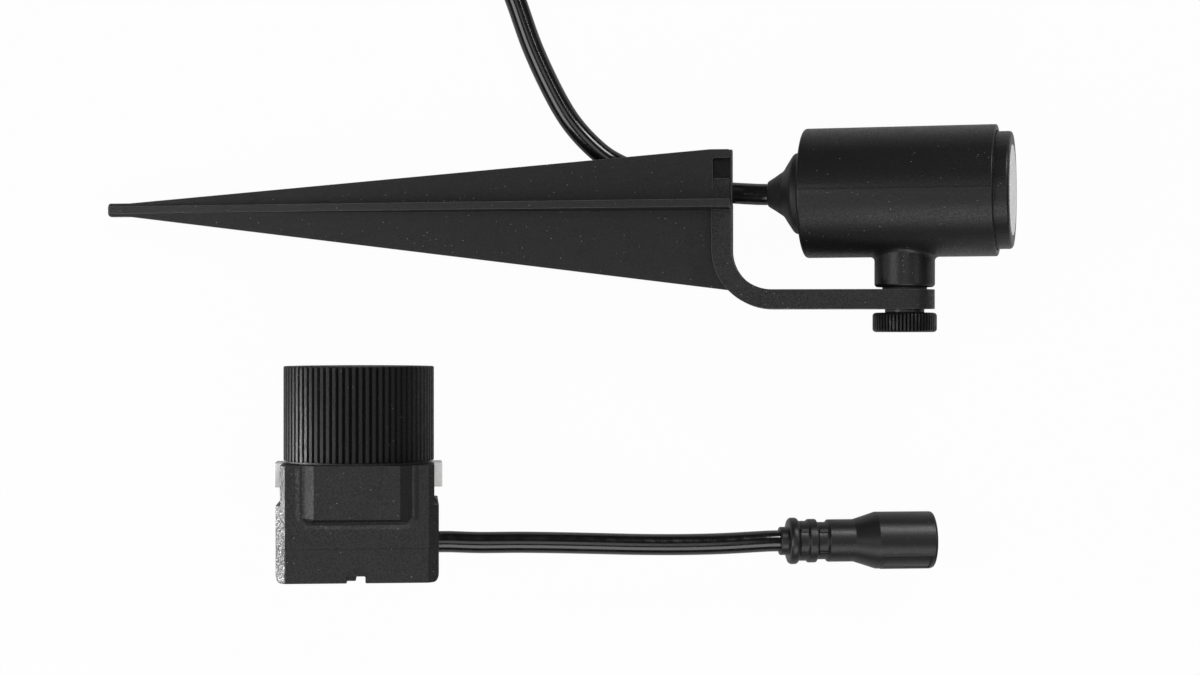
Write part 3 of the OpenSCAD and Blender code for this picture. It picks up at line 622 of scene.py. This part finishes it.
def tube(name, path, r, sides=28):
    """A round cord along a line, kept from twisting."""
    rings, side = [], Vector((0, 0, 1))
    for i, here in enumerate(path):
        way = (path[min(i + 1, len(path) - 1)] - path[max(i - 1, 0)]).normalized()
        side = (side - way * side.dot(way)).normalized()
        other = way.cross(side)
        turn = [2 * pi * k / sides for k in range(sides)]
        rings.append([here + r * (cos(a) * side + sin(a) * other) for a in turn])
    return lofted(name, rings, angle=60)


def measured(path):
    """A line's points in metres, and its length."""
    length = sum((b - a).length for a, b in zip(path, path[1:]))
    return [p * mm for p in path], length * mm


cord_r = 2.9
glossy = stuff("glossy cord", (0.006, 0.006, 0.006), (0.009, 0.009, 0.009), 0.14, 2.5)
gland_end = head @ Vector(((rear - gland_l) * mm, 0, 0)) / mm
gland_out = head @ Vector(((rear - gland_l - 3) * mm, 0, 0)) / mm
link_end, link_way = Vector((22, 49.4, 4)), Vector((-2.6, 1.2, -0.4))
link_path = flowing([gland_end, gland_out, (40, 44.2, 8.6), (31, 46, 6), link_end - link_way, link_end])
link = tube("link_visual", link_path, cord_r)
link.data.materials.append(glossy)
points, length = measured(link_path)
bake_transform(link)
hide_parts("cable_link")

run = [link_end, link_end + link_way, (12.6, 54.4, 2.9), (5.3, 61.5, 2.9), (-0.3, 70, 2.9)]
run += [(-6.8, 83.7, 2.9), (-11.8, 97.6, 2.9), (-16.6, 110, 2.9), (-21.4, 122, 2.9), (-24.8, 133, 2.9)]
coil_x, coil_y = 12, 142
coil_turns = [
    (0, 37.8, 2.9), (0.66, 37.8, 2.9), (0.88, 32, 2.9), (1.66, 32, 2.9), (1.88, 26.2, 2.9), (2.4, 26.2, 2.9),
    (2.62, 29.1, 8.5), (3.66, 29.1, 8.5), (3.88, 34.9, 8.5), (4.25, 34.9, 8.5),
]
wound = []
for (turn, r, z), (next_turn, next_r, next_z) in zip(coil_turns, coil_turns[1:]):
    count = max(2, round((next_turn - turn) * 30))
    for k in range(count):
        t = k / count
        ease = t * t * (3 - 2 * t)
        a = pi - 2 * pi * (turn + (next_turn - turn) * t)
        far = r + (next_r - r) * ease
        wound.append((coil_x + far * cos(a), coil_y + far * sin(a), z + (next_z - z) * ease))
tail = [(12, 176.9, 8.5), (22, 176.6, 8.5), (34, 175, 8.3), (46, 171.4, 7.7)]
plug_tip = 122
tail += [(58, 168, 7.6), (68, 166.4, 7.7), (plug_tip - 47, 166, 7.8), (plug_tip - 44, 166, 7.8)]
cable_path = flowing(run + wound + tail)
cable = tube("cable_visual", cable_path, cord_r)
dressed(cable, [glossy], "lamp_base", "cord_black", "lamp_cable", "cable_coil", "cable_tail")

on_plug = Matrix.Translation(Vector((plug_tip, 166, 7.8)) * mm)
grip = []
for x in (-27.4, -25.2, -23, -20.8):
    grip += [(x, 7.8, 0.2), (x + 0.3, 7.3, 0.2), (x + 0.9, 7.3, 0.2), (x + 1.2, 7.8, 0.2)]
plug = turned(
    "plug_visual",
    eased([(-44, 0, 0), (-44, 3.5, 0.4), (-36, 4.4, 1), (-31, 5.2, 0.8), (-28.5, 7.8, 0.5)] + grip + [
        (-16.5, 7.8, 0.5), (-16.5, 5.5, 0), (-15, 5.5, 0), (-15, 4.5, 0), (-13, 4.5, 0), (-13, 5.5, 0),
        (-5, 5.5, 0.5), (-5, 0, 0),
    ], 3),
    on_plug,
)
dressed(plug, [soft], "lamp_base", "soft_black", "plug_body")
red_rubber = stuff("red rubber", (0.3, 0.03, 0.02), (0.38, 0.05, 0.03), 0.5, 0.4)
coated({"plug_pins": brass, "plug_seal": red_rubber})

# Coil tie: a strap of soft black plastic around the bundled turns, which keeps the spare cable
# together; it lies tight over the outer turns and reaches the table at both sides.
tie_place = Matrix.Translation(Vector((coil_x, coil_y, 0)) * mm) @ Matrix.Rotation(radians(-60), 4, "Z")
to_tie = tie_place.inverted()
across = [to_tie @ (Vector(point) * mm) / mm for point in cable_path]
crossings = [
    (here + there) / 2 for here, there in zip(across, across[1:])
    if here.x > 0 and (here.y > 0) != (there.y > 0)
]


def over_turns(r):
    """Half an outline drawn tightly over the turns, that far from their middles."""
    line = []
    for lift in range(0, 181, 6):
        out = Vector((cos(radians(lift)), 0, sin(radians(lift))))
        edge = max(crossings, key=out.dot) + out * r
        line.append((edge.x, edge.z))
    return [(line[0][0], 0.05)] + line + [(line[-1][0], 0.05)]


strap_line = over_turns(cord_r + 1.05) + over_turns(cord_r + 0.12)[::-1]
tie = softened(plate("tie_visual", strap_line, -3, 3, tie_place @ flat), 0.2)
tie_black = stuff("tie plastic", (0.02, 0.02, 0.02), (0.035, 0.035, 0.035), 0.45, 0.5)
dressed(tie, [tie_black], "lamp_base", "soft_black", "coil_tie")
points, length = measured(cable_path)

# Connector block: a squared body with cut corners, a raised panel in front, a threaded neck
# under the cap and a slot for the garden cable, closed below by a base cover. It lies on the
# cap and on its lower edge, rolled a little.
base_low, base_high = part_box("base_cover")
stand = Matrix.Translation((
    (base_low.x + base_high.x) / 2, base_low.y, (base_low.z + base_high.z) / 2
)) @ Matrix.Rotation(radians(5), 4, "Y")
standing = stand @ Matrix.Rotation(-pi / 2, 4, "X")
block_w, upper_w, face_w, block_d = 42.6, 40.2, 37.4, 37.2
split, shoulder, block_h, slot_low = 9, 20.3, 30.8, 24.3


def cut_corners(w):
    """The block's plan: a rectangle with its corners cut off, back to the same front face."""
    x, z, f = w / 2, block_d / 2, face_w / 2
    c = x - f
    return [(-f, -z), (f, -z), (x, c - z), (x, z - c), (f, z), (-f, z), (-x, z - c), (-x, c - z)]


block = plate("block", cut_corners(block_w), split - 3, shoulder, standing)
combine(block, plate("upper", cut_corners(upper_w), shoulder - 1, block_h, standing), "UNION")
combine(block, plate("neck", arc(0, 0, 17.9, 0, 357, 119), block_h - 1, 50.55, standing), "UNION")
combine(block, brick("slot", (-30, slot_low, -5.4), (30, 60, 5.4), stand), "DIFFERENCE")
block = softened(block, 0.4)
combine(block, brick("under", (-30, 0, -30), (30, split + 0.03, 30), stand), "DIFFERENCE")
shaded(block, Matrix())

# The raised panel in front: a flat with sloping sides and a low bead around its foot.
rings = []
for wide, low, drop, cut in [
    (0, 0, 0, 0.1), (0.16, 0.1, 0.04, 0.15), (3, 0.95, 1.72, 1.2), (3.2, 1.1, 1.8, 1.4),
    (3.4, 1.3, 1.76, 1.6), (3.65, 1.55, 1.67, 1.8), (3.9, 1.8, 1.68, 2.05), (4.3, 2.15, 1.84, 2.4),
    (4.7, 2.5, 2.01, 2.7),
    (5, 2.8, 2.1, 3), (5, 2.8, 3.1, 3),
]:
    x, y, z = 11.1 + wide, 16.9 - low, block_d / 2 + 2.1 - drop
    ring = [(-x, block_h, z), (-x, y + cut, z), (-x + cut, y, z)]
    rings.append(ring + [(x - cut, y, z), (x, y + cut, z), (x, block_h, z)])
joined(block, lofted("front panel", rings, stand, 24))
block.name = "block_visual"
stipple = plastic("stippled black", 0.005, 0.5, 0.5, 0.08, 1.0)
dressed(block, [stipple], "connector", "black_plastic", "clamp_body")

# Base cover: the lower shell, screwed on from below along a fine parting line, with a notch
# in its foot and a hole at the right for the lead.
rings = []
for y, narrow in ((0, 2.4), (0.3, 1.4), (0.8, 0.6), (1.5, 0.15), (2.2, 0), (split + 3, 0)):
    rings.append([(x, y, z) for x, z in cut_corners(block_w - narrow)])
cover = lofted("cover_visual", rings, stand)
combine(cover, brick("notch", (-2.7, -1, -30), (2.1, 1.8, 30), stand), "DIFFERENCE")
cover = softened(cover, 0.3)
combine(cover, brick("over", (-30, split - 0.03, -30), (30, 40, 30), stand), "DIFFERENCE")
shaded(cover, Matrix())
joined(cover, softened(brick("rib in the notch", (-3, 0.6, -12), (-0.4, 3, 17.8), stand), 0.1))
dressed(cover, [stipple], "connector", "black_plastic", "base_cover")

# Cable seal: a pale silicone sleeve in the slot, which closes around the garden cable and
# stands a little out of the block at both sides.
seal_end = block_w / 2 + 1.05
seal = brick("seal_visual", (-seal_end, slot_low, -5.35), (seal_end, block_h, 5.35), stand)
channel = brick("channel", (-30, slot_low + 0.85, -3.85), (30, block_h - 0.85, 3.85), stand)
combine(seal, channel, "DIFFERENCE")
softened(seal, 0.3)
pale = stuff("pale silicone", (0.8, 0.8, 0.79), (0.88, 0.88, 0.87), 0.35, 1.5, 0, 0.02)
dressed(seal, [pale], "connector", "pale_silicone", "cable_seal")

# Screw cap: a deep cap of black plastic with fine grip ribs, moulded in one piece; it screws on
# the neck of the block and drives the pad down on the cable.
cap_low, cap_high, cap_r, rib_deep = 31.35, 56.55, 20.15, 0.8
steps = [
    (53.95, 2, 0), (53.95, 18, 0), (cap_low + 0.3, 18, 0), (cap_low, 18.3, 0), (cap_low, cap_r - 1, 0),
    (cap_low, cap_r - 0.12, rib_deep), (cap_low + 0.15, cap_r, rib_deep), (cap_high - 0.25, cap_r, rib_deep),
    (cap_high, cap_r - 0.25, rib_deep - 0.1), (cap_high, cap_r - 1.2, 0), (cap_high, cap_r - 3, 0),
    (cap_high - 0.3, cap_r - 3.4, 0), (cap_high - 0.3, 2, 0),
]
cap = lofted("cap_visual", [ribbed(72, *step) for step in steps], stand, 35)
ribbed_black = plastic("ribbed black", 0.004, 0.5, 0.5, 0.05, 0.6, 1.36)
dressed(cap, [ribbed_black], "connector_cap", "black_plastic", "screw_cap")

# Inside the connector: the pad and gasket under the cap, the pins that pierce the cable, their
# wires, the screws of the base and the grommet of the lead.
coated({
    "pressure_pad": stuff("pad plastic", (0.03, 0.03, 0.03), (0.045, 0.045, 0.045), 0.45, 0.5),
    "cap_gasket": seal_rubber,
    "piercing_pins": brass,
    "contact_wires": red_wire,
    "base_screws": steel,
    "lead_grommet": seal_rubber,
})

# Socket: a moulded shell with a waist, a cone and a barrel, an empty label panel sunk in the
# barrel's side, and a grooved relief behind that holds the lead.
mouth = mounts["socket_mouth"]
out = Vector(mouth["axis"])
socket_lean = atan2(-out.z, out.x)
mouth_l = mouth["dims"]["length_mm"]
on_socket = Matrix.Translation(Vector(mouth["pos_m"]) + out * mouth_l / 2 * mm)
on_socket = on_socket @ Matrix.Rotation(socket_lean, 4, "Y")
barrel_r, waist_r = 7.8, 5.8
shell = turned(
    "shell_visual",
    eased([
        (-29.4, 0, 0), (-29.4, waist_r, 0.3), (-22.2, waist_r, 0.15), (-16, barrel_r, 0.15),
        (0, barrel_r, 0.8), (0, 5.6, 0.4), (-12, 5.6, 0), (-12, 5, 0), (-20, 5, 0), (-20, 0, 0),
    ]),
)
sideways = Matrix(((0, 0, 1, 0), (1, 0, 0, 0), (0, 1, 0, 0), (0, 0, 0, 1)))


def slice_of_wall(low, high, first, last):
    """An outline across the barrel's wall, between two radii and two angles from its top."""
    angles = range(first, last + 1, 2)
    line = [(-low * sin(radians(a)), low * cos(radians(a))) for a in angles]
    return line + [(-high * sin(radians(a)), high * cos(radians(a))) for a in angles[::-1]]


rim = plate("rim", slice_of_wall(barrel_r - 1, barrel_r + 0.12, 25, 81), -14.9, -1, sideways)
combine(shell, rim, "UNION")
field = plate("field", slice_of_wall(barrel_r - 0.3, barrel_r + 1, 29, 77), -14.4, -1.5, sideways)
combine(shell, field, "DIFFERENCE")
shaded(shell, on_socket)
smooth = plastic("smooth black", 0.008, 0.38, 0.5, 0.02, 0.4)
dressed(shell, [smooth], "connector", "soft_black", "socket_shell")

relief_end = -42.6
relief = turned(
    "relief_visual",
    eased([
        (relief_end, 0, 0), (relief_end, 3.85, 0.4), (-40.5, 3.85, 0.2), (-40.4, 5, 0.3),
        (-40.1, 6.35, 0.9), (-37.7, 6.35, 0.9), (-37.5, 5.45, 0.2), (-35.2, 5.45, 0.2),
        (-34.9, 5.95, 0.35), (-32.6, 5.95, 0.35), (-32.4, 5.1, 0.2),
        (-29.9, 5.1, 0.2), (-29.4, 5.75, 0.3), (-29.38, 0, 0),
    ], 4),
)
for start, end, r in ((-37.4, -35.2, 5.75), (-32.3, -29.8, 5.5)):
    for a in (35, -35, 145, -145):
        pad = brick("pad", (start, -0.55, r - 1.5), (end, 0.55, r), Matrix.Rotation(radians(a), 4, "X"))
        joined(relief, softened(pad, 0.15))
placed(relief, on_socket)
dressed(relief, [smooth], "connector", "soft_black", "socket_relief")
insert_black = stuff("insert plastic", (0.015, 0.015, 0.015), (0.025, 0.025, 0.025), 0.4, 0.5)
coated({"socket_insert": insert_black, "socket_contacts": brass})

# Connector lead: a short stretch of the same round cable, held in the block's grommet at one end
# and moulded into the relief of the socket at the other.
lead_start = (stand @ Vector((block_w / 2 * mm, split * mm, 0))) / mm
lead_out = (stand @ Vector(((block_w / 2 + 3) * mm, split * mm, 0))) / mm
socket_rear = (on_socket @ Vector((relief_end * mm, 0, 0))) / mm
socket_in = (on_socket @ Vector(((relief_end - 3) * mm, 0, 0))) / mm
lead_path = flowing([
    lead_start, lead_out, (-21, -51.7, 17.4), (-10, -51.7, 16.7), (1, -51.9, 16), (12, -52.2, 15.3),
    (23, -52.5, 14.6), (34, -52.6, 13.8), (45, -52.4, 13.1), socket_in, socket_rear,
])
lead = tube("lead_visual", lead_path, cord_r)
dressed(lead, [glossy], "connector", "cord_black", "connector_lead")
points, length = measured(lead_path)
